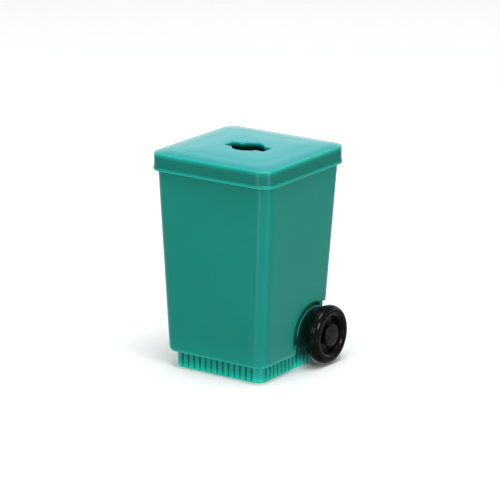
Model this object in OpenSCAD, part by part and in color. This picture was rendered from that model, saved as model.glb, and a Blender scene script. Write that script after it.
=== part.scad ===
// Pencil sharpener in the shape of a small two-wheeled bin.
// The base stands on z = 0 at the origin, the front faces -Y and the wheels are at the rear.
// A pencil goes down through the lid into the sharpener, and the shavings fall into the bin.

/* [Lid] */
// Width of the lid, side to side
lid_w = 36.5; // [36.3:0.1:38]
// Depth of the lid, front to rear
lid_d = 35.7; // [35.5:0.1:37]
// Radius of the lid's upright corners
lid_corner = 3.75; // [3:0.25:5]
// Height of the crown of the lid above the ground
lid_top_z = 57; // [56.5:0.25:60]
// Rise of the crown above the lid's top edge
lid_crown = 0.5; // [0.2:0.1:0.8]
// Width of the sloping margin round the crown
lid_margin = 4.6; // [3:0.2:6]
// Height of the skirt
skirt_h = 4.5; // [4:0.25:5]
// Thickness of the skirt
skirt_t = 1.25; // [1:0.05:1.35]
// Thickness of the lid's top
lid_plate_t = 2; // [1.5:0.25:2.5]
// How far the bead at the foot of the skirt stands out
bead_out = 0.2; // [0.1:0.05:0.4]
// Height of that bead
bead_h = 0.9; // [0.6:0.1:1.2]
// Diameter of the round pencil hole
hole_dia = 8.3; // [8.25:0.05:8.6]
// Length of the slot across the hole
slot_w = 11.9; // [10:0.1:13]
// Width of that slot
slot_d = 3.9; // [3:0.1:5]

/* [Bin shell] */
// Width of the shell just under the lid
shell_top_w = 35; // [34.6:0.1:35.4]
// Depth of the shell just under the lid
shell_top_d = 33.2; // [33.1:0.1:34]
// Width of the shell at its lower edge
shell_low_w = 30.2; // [29.6:0.1:31]
// Depth of the shell at its lower edge
shell_low_d = 29.2; // [28.8:0.1:30]
// How far the lower edge is centred in front of the upper one
shell_low_shift = 1; // [0.9:0.1:1.1]
// Height of the lower edge above the ground
shell_low_z = 4.2; // [3.8:0.1:5]
// Radius of the shell's upright corners
shell_corner = 3.1; // [2.5:0.1:4]
// Rounding of the lower edge
shell_edge_r = 1; // [0.5:0.1:1.1]
// Thickness of the shell's wall at its lower edge
shell_wall_low = 1.2; // [1:0.05:1.3]
// Thickness of the shell's wall at its rim
shell_wall_top = 1.6; // [1.5:0.05:1.8]

/* [Base] */
// Width of the base
base_w = 26.8; // [26.4:0.1:27]
// Depth of the base
base_d = 25.8; // [25.4:0.1:26]
// Radius of the base's upright corners
base_corner = 2.3; // [1.8:0.1:2.6]
// Thickness of the base's walls
base_wall = 1.2; // [1:0.1:1.4]
// Thickness of the base's floor
base_floor = 1.4; // [1.2:0.1:2]
// Height of the base's smooth inner wall
base_h = 18.5; // [18:0.5:22]
// Grooves on each side of the base
groove_count = 13; // [9:2:13]
// Distance between grooves on the front and rear
groove_pitch_x = 1.8; // [1.6:0.05:1.8]
// Distance between grooves on the sides
groove_pitch_y = 1.75; // [1.6:0.05:1.75]
// Width of each groove
groove_w = 0.5; // [0.4:0.05:0.7]
// Depth of each groove
groove_depth = 0.7; // [0.4:0.05:0.8]

/* [Wheels] */
// Diameter of the wheels
wheel_dia = 15.4; // [14:0.1:15.4]
// Width of the tyre
tyre_w = 3.6; // [3.2:0.1:3.6]
// Radial thickness of the tyre
tyre_t = 3; // [2.6:0.1:3.1]
// Distance from the middle of the bin to the middle of each tyre
wheel_x = 17.6; // [17.6:0.1:18.2]
// How far the axle is behind the middle of the bin
axle_y = 10; // [9.8:0.1:10]
// Diameter of the axle
axle_dia = 3; // [2:0.1:3]
// Diameter of the domed caps on the axle's ends
cap_dia = 5.9; // [5.6:0.1:6.4]

/* [Sharpener] */
// Width of the sharpener's body
body_w = 14.6; // [14:0.1:15]
// Thickness of the sharpener's body at its head
body_d = 11.2; // [10.8:0.1:12]
// Length of the sharpener's body
body_l = 25.4; // [25:0.1:27]
// Diameter of the straight guide for the pencil
guide_dia = 8.3; // [8.2:0.05:8.4]
// Length of that guide
guide_l = 4; // [3.5:0.25:4.5]
// Half of the pencil point's angle
point_half_angle = 11.5; // [11:0.25:12]
// Width of the blade
blade_w = 7; // [6.5:0.1:7.2]
// Thickness of the blade
blade_t = 0.55; // [0.4:0.05:0.7]

/* [Hidden] */
$fn = 64;

// Clearances, and how far a cut runs past the solid that it cuts
eps = 0.01;
over = 1;
lid_gap = 0.1;
shell_gap = 0.1;
wheel_gap = 0.3;
axle_gap = 0.05;
press_gap = 0.02;
hull_fn = 32;
groove_fn = 24;

// Lid
lid_edge_z = lid_top_z - lid_crown;
skirt_z = lid_edge_z - skirt_h;
plate_z = lid_top_z - lid_plate_t;
lid_edge_r = 0.4;
crown_corner = lid_corner - 1;
socket_wall = 1.2;
socket_h = 5;

// Bin shell
shoulder_z = skirt_z - 0.05;
neck_top_z = plate_z - 0.3;
neck_corner = 2.9;
inner_corner_min = 1;

// Base, whose inner wall stands one step in from its ribbed skirt
base_y = -shell_low_shift;
base_rear = base_y + base_d / 2;
base_front = base_y - base_d / 2;
base_step = 1;
skirt_top_z = shell_low_z + 0.6;
flange_t = 1.2;
fit_half_x = shell_low_w / 2 - shell_wall_low - shell_gap;
fit_half_y = shell_low_d / 2 - shell_wall_low - shell_gap;
fit_corner = shell_corner - shell_wall_low;
fit_rear = base_y + fit_half_y;

// Catches between the base and the shell, as [y, z], and the rails that carry them
front_snap = [-14.3, 10];
rear_snap = [12.65, 13];
snap_r = 0.5;
snap_w = 14;
rail_h = 2;
rail_root = 0.5;
side_rail_x = 14;
side_rail_y = [-8, -4];

// Outer edge of the wheel arch in the shell, seen from the side as [y, z]
arch_centre = [6, 9.1];
arch_r = 8;
arch_rear = [20, 15.6];
arch_x = base_w / 2 + 0.1;

// Raised pad beside each wheel, and its edge seen from the side as [y, z]
pad_t = 1.6;
pad_centre = [10, 7];
pad_r = 7.45;
pad_arc_end = 166;
pad_front_low = [1.3, 3];
rib_top_z = 9.5;

// Wheels and axle, with distances along the axle from the middle of the tyre
wheel_r = wheel_dia / 2;
axle_r = axle_dia / 2;
axle_z = wheel_r + 0.1;
housing_r = 2.5;
housing_inset = 0.2;
hub_r = 2.6;
tyre_corner = tyre_t / 2 - 0.05;
web_low = -1;
web_high = -0.2;
hub_out = 0.2;
hub_in = wheel_x - base_w / 2 - wheel_gap;
sleeve_r = 2.4;
cap_low = 0.4;
cap_hole_top = 1.2;
cap_top = tyre_w / 2;
cap_rim_high = cap_top - 0.15;
cap_rim_low = cap_rim_high - 0.65;
axle_end = wheel_x + cap_hole_top;

// Sharpener, with lengths on its blade plane measured from the cone's apex
guide_r = guide_dia / 2;
body_low_z = plate_z - body_l;
head_low_z = plate_z - socket_h;
apex_z = plate_z - guide_l - guide_r / tan(point_half_angle);
tip_r = 0.5;
tip_z = apex_z + tip_r / tan(point_half_angle);
face_skin = 0.3;
face_l = (head_low_z - apex_z) / cos(point_half_angle) + face_skin;
blade_low = -0.8;
blade_high = face_l - 0.5;
bevel_w = 1.2;
seat_depth = 2;
window = [[0.3, -2], [0.3, 1.7], [-1, 1.7], [-5.2, -face_skin], [-5.2, -2]];
window_low = 1.5;
waist_r = 9;
waist_depth = 0.8;
waist_z = body_low_z + 9;
screw_x = 3.9;
screw_v = 9.5;
screw_r = 1.2;
screw_l = 5;
screw_gap = 0.1;
head_r = 2.1;
head_h = 1.2;
drive_w = 0.6;

teal = "#24897A";
black = "#141414";
steel = "#B9BCC0";

function mix(a, b, t) = a + (b - a) * t;
function shell_t(z) = (z - shell_low_z) / (shoulder_z - shell_low_z);
function shell_half_x(z) = mix(shell_low_w, shell_top_w, shell_t(z)) / 2;
function shell_half_y(z) = mix(shell_low_d, shell_top_d, shell_t(z)) / 2;
function shell_mid_y(z) = mix(-shell_low_shift, 0, shell_t(z));
function shell_wall(z) = mix(shell_wall_low, shell_wall_top, shell_t(z));
function arc(centre, r, a0, a1, n) = [
    for (i = [0:n])
        let (a = mix(a0, a1, i / n))
        [centre[0] + r * cos(a), centre[1] + r * sin(a)]
];

module rounded_rect(w, d, r) {
    square([w - 2 * r, d], center = true);
    square([w, d - 2 * r], center = true);
    for (x = [-1, 1], y = [-1, 1])
        translate([x * (w / 2 - r), y * (d / 2 - r)]) circle(r);
}

// A thin level slice, the building block of the tapered shapes
module slice(w, d, r, z) {
    translate([0, 0, z]) linear_extrude(eps) rounded_rect(w, d, r);
}

module shell_slice(z, inset) {
    translate([0, shell_mid_y(z), 0])
        slice(
            2 * (shell_half_x(z) - inset), 2 * (shell_half_y(z) - inset),
            max(shell_corner - inset, inner_corner_min), z, $fn = hull_fn
        );
}

// An outline given as [y, z], made solid from x = x0 to x = x1
module side_prism(outline, x0, x1) {
    translate([x0, 0, 0]) rotate([90, 0, 90]) linear_extrude(x1 - x0) polygon(outline);
}

// Turns a shape made round +Z so that it lies along the axle
module on_axle(side) {
    translate([0, axle_y, axle_z]) rotate([0, side * 90, 0]) children();
}

// Plane that touches the cone along its front, with y < 0 outside the sharpener
module on_blade_plane() {
    translate([0, 0, apex_z]) rotate([point_half_angle, 0, 0]) children();
}

module arch_cut() {
    outline = concat(
        [[arch_rear[0], 0], arch_rear],
        arc(arch_centre, arch_r, 65, 225, 24),
        [[arch_centre[0], 0]]
    );
    for (side = [-1, 1])
        scale([side, 1, 1]) side_prism(outline, arch_x, lid_w);
}

module shell_outer() {
    hull() {
        for (a = [0:22.5:90])
            shell_slice(shell_low_z + shell_edge_r * (1 - cos(a)), shell_edge_r * (1 - sin(a)));
        shell_slice(shoulder_z - eps, 0);
    }
}

module shell_inner() {
    hull() {
        shell_slice(shell_low_z - over, shell_wall(shell_low_z - over));
        shell_slice(neck_top_z + over, shell_wall(neck_top_z + over));
    }
}

module snap_bar(place, r) {
    translate([-snap_w / 2, place[0], place[1]]) rotate([0, 90, 0]) cylinder(r = r, h = snap_w);
}

module bin_shell() {
    color(teal)
    difference() {
        union() {
            shell_outer();
            translate([0, 0, shoulder_z - over])
                linear_extrude(neck_top_z - shoulder_z + over)
                rounded_rect(
                    lid_w - 2 * skirt_t - 2 * lid_gap, lid_d - 2 * skirt_t - 2 * lid_gap,
                    neck_corner
                );
        }
        shell_inner();
        arch_cut();
        snap_bar(front_snap, snap_r + shell_gap);
        snap_bar(rear_snap, snap_r + shell_gap);
    }
}

module lid_outer() {
    hull() {
        slice(lid_w, lid_d, lid_corner, skirt_z, $fn = hull_fn);
        slice(lid_w, lid_d, lid_corner, lid_edge_z - lid_edge_r, $fn = hull_fn);
        slice(
            lid_w - 2 * lid_edge_r, lid_d - 2 * lid_edge_r, lid_corner - lid_edge_r,
            lid_edge_z, $fn = hull_fn
        );
        slice(
            lid_w - 2 * lid_margin, lid_d - 2 * lid_margin, crown_corner,
            lid_top_z - eps, $fn = hull_fn
        );
    }
    translate([0, 0, skirt_z])
        linear_extrude(bead_h)
        rounded_rect(lid_w + 2 * bead_out, lid_d + 2 * bead_out, lid_corner + bead_out);
}

module lid() {
    color(teal)
    difference() {
        union() {
            difference() {
                lid_outer();
                translate([0, 0, skirt_z - over])
                    linear_extrude(plate_z - skirt_z + over)
                    rounded_rect(lid_w - 2 * skirt_t, lid_d - 2 * skirt_t, lid_corner - skirt_t);
            }
            translate([0, 0, head_low_z])
                linear_extrude(socket_h + lid_plate_t / 2)
                square([body_w + 2 * socket_wall, body_d + 2 * socket_wall], center = true);
        }
        translate([0, 0, head_low_z - over])
            linear_extrude(socket_h + over)
            square([body_w + 2 * press_gap, body_d + 2 * press_gap], center = true);
        translate([0, 0, plate_z - over]) cylinder(d = hole_dia, h = lid_plate_t + 2 * over);
        translate([-slot_w / 2, -slot_d / 2, plate_z - over])
            cube([slot_w, slot_d, lid_plate_t + 2 * over]);
    }
}

// Draws its children at every groove, as if each were in a front wall along y = 0
module at_grooves() {
    half = (groove_count - 1) / 2;
    translate([0, base_y])
        for (i = [-half:half], turn = [0, 180]) {
            rotate(turn) translate([i * groove_pitch_x, -base_d / 2]) children();
            rotate(turn + 90) translate([i * groove_pitch_y, -base_w / 2]) children();
        }
}

// One groove with a round bottom, cut from y < 0 into a wall
module groove() {
    straight = groove_depth - groove_w / 2;
    translate([0, straight]) circle(groove_w / 2, $fn = groove_fn);
    translate([-groove_w / 2, -over]) square([groove_w, straight + over]);
}

module base_outline(inset) {
    translate([0, base_y])
        rounded_rect(base_w - 2 * inset, base_d - 2 * inset, max(base_corner - inset, 0.8));
}

// Outline that fits inside the shell
module fit_outline(corner) {
    translate([0, base_y]) rounded_rect(2 * fit_half_x, 2 * fit_half_y, corner);
}

module grooved_prism(z0, z1) {
    translate([0, 0, z0])
        linear_extrude(z1 - z0)
        difference() {
            children();
            at_grooves() groove();
        }
}

module pad_outline() {
    intersection() {
        fit_outline(fit_corner);
        for (side = [-1, 1])
            translate([side * (base_w - pad_t) / 2, (pad_front_low[0] + fit_rear) / 2])
                square([pad_t, fit_rear - pad_front_low[0]], center = true);
    }
}

module pads() {
    edge = concat(
        [[fit_rear + over, pad_front_low[1]], [fit_rear + over, pad_centre[1] + pad_r]],
        arc(pad_centre, pad_r, 90, pad_arc_end, 18),
        [pad_front_low]
    );
    intersection() {
        union() {
            grooved_prism(shell_low_z, rib_top_z) pad_outline();
            translate([0, 0, rib_top_z]) linear_extrude(base_h - rib_top_z) pad_outline();
        }
        side_prism(edge, -base_w, base_w);
    }
}

// Level flange round the base's rim, and walls that close the corners behind the axle
module rim_flange() {
    corner_wall_y = base_rear - base_step - base_wall;
    translate([0, 0, base_h - flange_t]) linear_extrude(flange_t) fit_outline(base_corner);
    for (side = [-1, 1])
        translate([side * (base_w / 2 - base_step - base_wall / 2), 0, 0])
            translate([-base_wall / 2, corner_wall_y, shell_low_z])
            cube([base_wall, fit_rear - corner_wall_y, base_h - shell_low_z]);
}

// A level rail that stands out from the inner wall between y0 and y1, over half-width w
module rail(y0, y1, w, z) {
    translate([-w, y0, z - rail_h / 2]) cube([2 * w, y1 - y0, rail_h]);
}

module snap_rails() {
    root = base_step + rail_root;
    rail(front_snap[0], base_front + root, snap_w / 2, front_snap[1]);
    rail(base_rear - root, rear_snap[0], snap_w / 2, rear_snap[1]);
    rail(side_rail_y[0], side_rail_y[1], side_rail_x, front_snap[1]);
    snap_bar(front_snap, snap_r);
    snap_bar(rear_snap, snap_r);
}

module base() {
    color(teal)
    difference() {
        union() {
            difference() {
                union() {
                    grooved_prism(0, skirt_top_z) base_outline(0);
                    linear_extrude(base_h) base_outline(base_step);
                    pads();
                    rim_flange();
                    snap_rails();
                }
                translate([0, 0, base_floor])
                    linear_extrude(base_h) base_outline(base_step + base_wall);
            }
            on_axle(1) cylinder(r = housing_r, h = base_w - 2 * housing_inset, center = true);
        }
        on_axle(1) cylinder(r = axle_r + press_gap, h = base_w + 2 * over, center = true);
    }
}

module axle() {
    color(steel)
    on_axle(1) cylinder(r = axle_r, h = 2 * axle_end, center = true);
}

module wheel(side) {
    color(black)
    on_axle(side)
    translate([0, 0, wheel_x])
    rotate_extrude()
    union() {
        translate([wheel_r - tyre_t / 2, 0]) rounded_rect(tyre_t, tyre_w, tyre_corner);
        translate([axle_r + axle_gap, web_low])
            square([wheel_r - tyre_t / 2 - axle_r, web_high - web_low]);
        translate([axle_r + axle_gap, -hub_in])
            square([hub_r - axle_r - axle_gap, hub_in + hub_out]);
    }
}

module wheel_left() {
    wheel(-1);
}

module wheel_right() {
    wheel(1);
}

module hub_cap(side) {
    cap_r = cap_dia / 2;
    dome_h = cap_top - cap_rim_high;
    dome_r = (cap_r * cap_r + dome_h * dome_h) / (2 * dome_h);
    color(black)
    on_axle(side)
    translate([0, 0, wheel_x])
    difference() {
        union() {
            translate([0, 0, cap_low]) cylinder(r = sleeve_r, h = cap_rim_high - cap_low);
            translate([0, 0, cap_rim_low]) cylinder(r = cap_r, h = cap_rim_high - cap_rim_low);
            intersection() {
                translate([0, 0, cap_top - dome_r]) sphere(dome_r, $fn = 96);
                translate([0, 0, cap_rim_low]) cylinder(r = cap_r, h = cap_top);
            }
        }
        translate([0, 0, cap_low - over])
            cylinder(r = axle_r + press_gap, h = cap_hole_top - cap_low + over);
    }
}

module hub_cap_left() {
    hub_cap(-1);
}

module hub_cap_right() {
    hub_cap(1);
}

module sharpener_body() {
    color(black)
    difference() {
        translate([-body_w / 2, -body_d / 2, body_low_z]) cube([body_w, body_d, body_l]);
        // Straight guide, cone and the tip's way out
        translate([0, 0, plate_z - guide_l - eps]) cylinder(r = guide_r, h = guide_l + over);
        translate([0, 0, tip_z])
            cylinder(r1 = tip_r, r2 = guide_r, h = plate_z - guide_l - tip_z);
        translate([0, 0, body_low_z - over])
            cylinder(r = tip_r, h = tip_z - body_low_z + over + eps);
        // Slanted face, blade seat and window for the shavings
        on_blade_plane()
            translate([-body_w, -body_w - face_skin, -body_w])
            cube([2 * body_w, body_w, face_l + body_w]);
        on_blade_plane()
            translate([0, -seat_depth, -body_w])
            cube([body_w, seat_depth, blade_high + screw_gap + body_w]);
        on_blade_plane()
            translate([0, 0, window_low])
            linear_extrude(blade_high - window_low) polygon(window);
        // Finger waist
        for (side = [-1, 1])
            translate([side * (body_w / 2 + waist_r - waist_depth), 0, waist_z])
                rotate([90, 0, 0]) cylinder(r = waist_r, h = body_d + 2 * over, center = true);
        // Screw hole
        on_blade_plane()
            translate([screw_x, screw_l + press_gap, screw_v])
            rotate([90, 0, 0]) cylinder(r = screw_r + press_gap, h = screw_l + seat_depth);
    }
}

module blade() {
    color(steel)
    on_blade_plane()
    difference() {
        translate([0, 0, blade_low])
            linear_extrude(blade_high - blade_low)
            polygon([[0, 0], [blade_w, 0], [blade_w, -blade_t], [bevel_w, -blade_t]]);
        translate([screw_x, over, screw_v])
            rotate([90, 0, 0]) cylinder(r = screw_r + screw_gap, h = blade_t + 2 * over);
    }
}

module blade_screw() {
    color(steel)
    on_blade_plane()
    translate([screw_x, -blade_t, screw_v])
    rotate([90, 0, 0])
    difference() {
        union() {
            cylinder(r = head_r, h = head_h);
            translate([0, 0, -screw_l]) cylinder(r = screw_r, h = screw_l + eps);
        }
        translate([-head_r - over, -drive_w / 2, head_h / 2])
            cube([2 * (head_r + over), drive_w, head_h]);
    }
}

lid();
bin_shell();
base();
axle();
wheel_left();
wheel_right();
hub_cap_left();
hub_cap_right();
sharpener_body();
blade();
blade_screw();
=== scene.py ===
"""Pencil sharpener in the shape of a small two-wheeled bin.

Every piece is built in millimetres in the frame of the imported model, and finish_piece() brings it
to metres, so that a piece lies where the node that it stands for lies.
"""

import math

import bmesh
import bpy
from mathutils import Matrix, Vector


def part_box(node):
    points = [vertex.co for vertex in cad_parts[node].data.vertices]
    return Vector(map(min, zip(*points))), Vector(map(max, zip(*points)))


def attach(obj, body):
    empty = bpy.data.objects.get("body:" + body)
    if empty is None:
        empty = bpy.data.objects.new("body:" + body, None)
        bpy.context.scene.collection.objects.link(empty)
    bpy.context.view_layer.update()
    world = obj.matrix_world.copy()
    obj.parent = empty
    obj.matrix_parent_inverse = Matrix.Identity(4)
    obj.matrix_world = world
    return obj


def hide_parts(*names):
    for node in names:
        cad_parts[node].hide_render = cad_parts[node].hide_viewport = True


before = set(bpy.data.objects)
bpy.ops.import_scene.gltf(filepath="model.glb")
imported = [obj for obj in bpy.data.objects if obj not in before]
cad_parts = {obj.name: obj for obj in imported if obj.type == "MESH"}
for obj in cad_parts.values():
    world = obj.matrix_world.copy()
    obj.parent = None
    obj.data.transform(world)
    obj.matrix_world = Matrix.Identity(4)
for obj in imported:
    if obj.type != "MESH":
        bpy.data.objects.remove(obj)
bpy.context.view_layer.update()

MM = 0.001


def blend(first, second, share):
    """A colour between two others."""
    return tuple(a + (b - a) * share for a, b in zip(first, second))


def pale(level, blue=1.0):
    """A grey of a brightness, cooler where blue is above 1."""
    return (level * (2 - blue), level, level * blue)


def node_box(node):
    """Lowest and highest corner of a node, in millimetres."""
    low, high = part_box(node)
    return low / MM, high / MM


# ---------------------------------------------------------------- sizes, in millimetres
lid_low, lid_high = node_box("lid")
shell_low, shell_high = node_box("bin_shell")
base_low, base_high = node_box("base")
wheel_low, wheel_high = node_box("wheel_right")
cap_low, cap_high = node_box("hub_cap_right")
axle_low, axle_high = node_box("axle")
body_low, body_high = node_box("sharpener_body")

# Small edges and fillets that several pieces share, the hair of clearance that keeps fitted
# surfaces and cuts apart, and how far a cutter reaches past what it cuts
CHAMFER = 0.2
FILLET = 0.4
HAIR = 0.02
PAST = 1.0

# Lid
BEAD_OUT = 0.2
BEAD_H = 0.9
BEAD_EDGE_R = 0.15
LID_X = lid_high.x - BEAD_OUT
LID_Y = lid_high.y - BEAD_OUT
LID_CORNER = 3.75
LID_EDGE_R = 0.3
SKIRT_T = 1.25
SKIRT_Z = lid_high.z - 5.0
SKIRT_FOOT_R = 0.3
LID_EDGE_Z = lid_high.z - 0.5
PLATE_Z = lid_high.z - 2.0
MARGIN = 5.2
CROWN_CORNER = 2.9
CROWN_SWELL = 0.16
CROWN_INSET = 11.0
HOLE_R = 4.15
HOLE_EDGE_R = 0.35
SLOT_X = 5.95
SLOT_Y = 1.95
SLOT_CORNER = 0.25
SOCKET_WALL = 1.2
SOCKET_LEAD = 0.3

# Bin shell
SHELL_TOP = Vector((shell_high.x, shell_high.y, SKIRT_Z - 0.05))
SHELL_LOW = Vector((15.1, 14.6, shell_low.z))
SHELL_SHIFT = -1.0
SHELL_CORNER = 3.1
SHELL_EDGE_R = 1.0
SHELL_MIDDLE_Z = 30.0
WALL_LOW = 1.2
WALL_TOP = 1.6
NECK_GAP = 0.1
NECK_CORNER = 2.9
NECK_EDGE_R = 0.3
ARCH_EDGE_R = 0.22

# Wheel arch in the shell and raised pad in it, seen from the side as (y, z)
ARCH_CENTRE = (6.0, 9.1)
ARCH_R = 8.0
ARCH_ARC = (65, 225)
ARCH_OUT_X = 25.0
ARCH_REAR = (20.0, 15.6)
PAD_CENTRE = (10.0, 7.0)
PAD_R = 7.45
PAD_ARC_END = 166
PAD_FOOT = (1.8, SHELL_LOW.z + 0.3)
PAD_GAP = 0.08
PAD_T = 1.6
PAD_EDGE_R = 0.16
PAD_TOP = PAD_CENTRE[1] + PAD_R
PAD_RIB_TOP = 9.5
PAD_GROOVES = range(2, 7)

# Base
BASE_X = 13.4
BASE_Y = 12.9
BASE_CORNER = 2.3
BASE_STEP = 1.0
BASE_WALL = 1.2
BASE_FLOOR = 1.4
BASE_SKIRT_Z = SHELL_LOW.z + 0.6
FLANGE_OUT = 0.4
FLANGE_T = 1.2
GROOVES = 13
PITCH_X = 1.8
PITCH_Y = 1.75
GROOVE_W = 0.5
GROOVE_DEPTH = 0.7
GROOVE_LIP = 0.14
RIB_END_R = 0.4
HOUSING_R = 2.5
CORNER_WALL_REAR = 12.25

# Wheels and axle
AXLE_R = axle_high.z / 2 - axle_low.z / 2
AXLE_Y = (axle_low.y + axle_high.y) / 2
AXLE_Z = (axle_low.z + axle_high.z) / 2
WHEEL_R = (wheel_high.z - wheel_low.z) / 2
TYRE_T = 3.0
TYRE_CORNER = 1.45
TYRE_HALF = 1.8
WHEEL_X = wheel_high.x - TYRE_HALF
WEB_OUT = -0.2
WEB_IN = -1.0
HUB_R = 2.6
HUB_OUT = 0.2
HUB_IN = WHEEL_X - wheel_low.x
CAP_R = (cap_high.z - cap_low.z) / 2
CAP_SLEEVE_R = 2.4
CAP_FOOT = 0.4
CAP_HOLE_TOP = 1.2
CAP_RIM_LOW = 1.0
CAP_RIM_HIGH = 1.65

# Sharpener
GUIDE_R = 4.15
GUIDE_L = 4.0
POINT_ANGLE = math.radians(11.5)
APEX_Z = body_high.z - GUIDE_L - GUIDE_R / math.tan(POINT_ANGLE)
HEAD_Z = body_high.z - 5.0
FACE_L = (HEAD_Z - APEX_Z) / math.cos(POINT_ANGLE) + 0.3
BLADE_W = 7.0
BLADE_T = 0.55
BLADE_BEVEL = 1.2
BLADE_FOOT = -0.8
BLADE_HEAD = FACE_L - 0.5
TIP_R = 0.5
WAIST_R = 9.0
WAIST_UP = 9.0
WAIST_DEPTH = 0.8
GRIP_R = 0.2
GRIP_PITCH = 0.8
SCREW_PLACE = (3.9, 9.5)
SCREW_HEAD_R = 2.1
SCREW_HEAD_H = 1.2
SCREW_R = 1.2
SCREW_L = 5.0
THREAD_PITCH = 0.5


# ---------------------------------------------------------------- building meshes
def new_object(name, bm):
    """Makes an object from a bmesh, with coinciding points joined and every face turned outwards."""
    bmesh.ops.remove_doubles(bm, verts=bm.verts, dist=1e-5)
    bmesh.ops.recalc_face_normals(bm, faces=bm.faces)
    mesh = bpy.data.meshes.new(name)
    bm.to_mesh(mesh)
    bm.free()
    obj = bpy.data.objects.new(name, mesh)
    bpy.context.scene.collection.objects.link(obj)
    return obj


def arc(centre, radius, start, end, steps):
    """Points round part of a circle, with both ends. The angles are in degrees."""
    angles = [math.radians(start + (end - start) * i / steps) for i in range(steps + 1)]
    return [
        (centre[0] + radius * math.cos(a), centre[1] + radius * math.sin(a)) for a in angles
    ]


def loft(name, rings, closed=True):
    """Skin over rings of equally many points, whose ends meet if closed, or else are capped flat."""
    bm = bmesh.new()
    rows = [[bm.verts.new(point) for point in ring] for ring in rings]
    pairs = list(zip(rows, rows[1:]))
    if closed:
        pairs.append((rows[-1], rows[0]))
    else:
        bm.faces.new(rows[0])
        bm.faces.new(rows[-1])
    for low, high in pairs:
        for i in range(len(low)):
            j = (i + 1) % len(low)
            bm.faces.new((low[i], low[j], high[j], high[i]))
    return new_object(name, bm)


def lathe(name, outline, segments=128):
    """Solid turned round +Z from its outline as (radius, height). Off the axis, the outline's ends meet."""
    bm = bmesh.new()
    rows = []
    for radius, height in outline:
        if radius == 0:
            rows.append([bm.verts.new((0, 0, height))])
            continue
        turns = [2 * math.pi * i / segments for i in range(segments)]
        rows.append(
            [bm.verts.new((radius * math.cos(t), radius * math.sin(t), height)) for t in turns]
        )
    pairs = list(zip(rows, rows[1:]))
    if outline[0][0] > 0:
        pairs.append((rows[-1], rows[0]))
    for low, high in pairs:
        for i in range(segments):
            j = (i + 1) % segments
            corners = (low[i % len(low)], low[j % len(low)], high[j % len(high)], high[i % len(high)])
            bm.faces.new(list(dict.fromkeys(corners)))
    return new_object(name, bm)


def box(name, low, high):
    """A block between its lowest and highest corner."""
    ring = [(low[0], low[1]), (high[0], low[1]), (high[0], high[1]), (low[0], high[1])]
    return loft(name, [[(x, y, z) for x, y in ring] for z in (low[2], high[2])], closed=False)


def side_prism(name, outline, x0, x1):
    """An outline as (y, z), made solid from x0 to x1."""
    return loft(name, [[(x, y, z) for y, z in outline] for x in (x0, x1)], closed=False)


def place(obj, matrix):
    """Moves the object's points."""
    obj.data.transform(matrix)
    return obj


def on_axle(side):
    """Turns +Z outwards along the axle, on the left for -1 and the right for 1."""
    turn = Matrix.Rotation(math.radians(90 * side), 4, "Y")
    return Matrix.Translation((0, AXLE_Y, AXLE_Z)) @ turn


def on_blade_plane():
    """The plane that touches the cone along its front, with y < 0 outside the sharpener."""
    return Matrix.Translation((0, 0, APEX_Z)) @ Matrix.Rotation(POINT_ANGLE, 4, "X")


def on_screw(out=0.0):
    """Turns +Z along the blade's screw, from a height over the blade's seat."""
    seat = Matrix.Translation((SCREW_PLACE[0], -out, SCREW_PLACE[1]))
    return on_blade_plane() @ seat @ Matrix.Rotation(math.pi / 2, 4, "X")


def applied(obj):
    """Applies the object's modifiers."""
    bpy.context.view_layer.update()
    graph = bpy.context.evaluated_depsgraph_get()
    mesh = bpy.data.meshes.new_from_object(obj.evaluated_get(graph))
    obj.modifiers.clear()
    obj.data = mesh
    return obj


def boolean(target, operation, *tools):
    """Joins the tools to the target, cuts them out of it or keeps what is in them, and deletes them."""
    for tool in tools:
        modifier = target.modifiers.new(operation, "BOOLEAN")
        modifier.operation = operation
        modifier.solver = "EXACT"
        modifier.object = tool
    applied(target)
    for tool in tools:
        bpy.data.objects.remove(tool)
    return target


def bevel(obj, width, segments=2, angle=35):
    """Rounds the edges that are sharper than angle."""
    modifier = obj.modifiers.new("edges", "BEVEL")
    modifier.width = width
    modifier.segments = segments
    modifier.limit_method = "ANGLE"
    modifier.angle_limit = math.radians(angle)
    modifier.use_clamp_overlap = True
    return applied(obj)


def finish_piece(obj, node, body, material):
    """Brings a piece to metres, gives it its material and puts it in the place of its node."""
    mesh = obj.data
    mesh.transform(Matrix.Scale(MM, 4))
    mesh.materials.clear()
    mesh.materials.append(material)
    mesh.shade_smooth()
    mesh.set_sharp_from_angle(angle=math.radians(50))
    weighted = obj.modifiers.new("normals", "WEIGHTED_NORMAL")
    weighted.keep_sharp = True
    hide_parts(node)
    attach(obj, body)


# ---------------------------------------------------------------- level outlines
SIDE_STEPS = 8
CORNER_STEPS = 12


def whole_ring(quarter, z, centre_y=0.0):
    """A level ring from its first quarter, which runs from the +X axis to the +Y axis."""
    second = [(-x, y) for x, y in reversed(quarter)][1:]
    third = [(-x, -y) for x, y in quarter][1:]
    fourth = [(x, -y) for x, y in reversed(quarter)][1:-1]
    return [(x, y + centre_y, z) for x, y in quarter + second + third + fourth]


def rect_quarter(half_x, half_y, radius):
    """First quarter of a rectangle with rounded corners."""
    side_x = [(half_x, (half_y - radius) * i / SIDE_STEPS) for i in range(SIDE_STEPS)]
    corner = arc((half_x - radius, half_y - radius), radius, 0, 90, CORNER_STEPS)
    side_y = [((half_x - radius) * (1 - i / SIDE_STEPS), half_y) for i in range(1, SIDE_STEPS + 1)]
    return side_x + corner + side_y


def rect_ring(half_x, half_y, radius, z, centre_y=0.0):
    """A level rectangle with rounded corners."""
    return whole_ring(rect_quarter(half_x, half_y, radius), z, centre_y)


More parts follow.
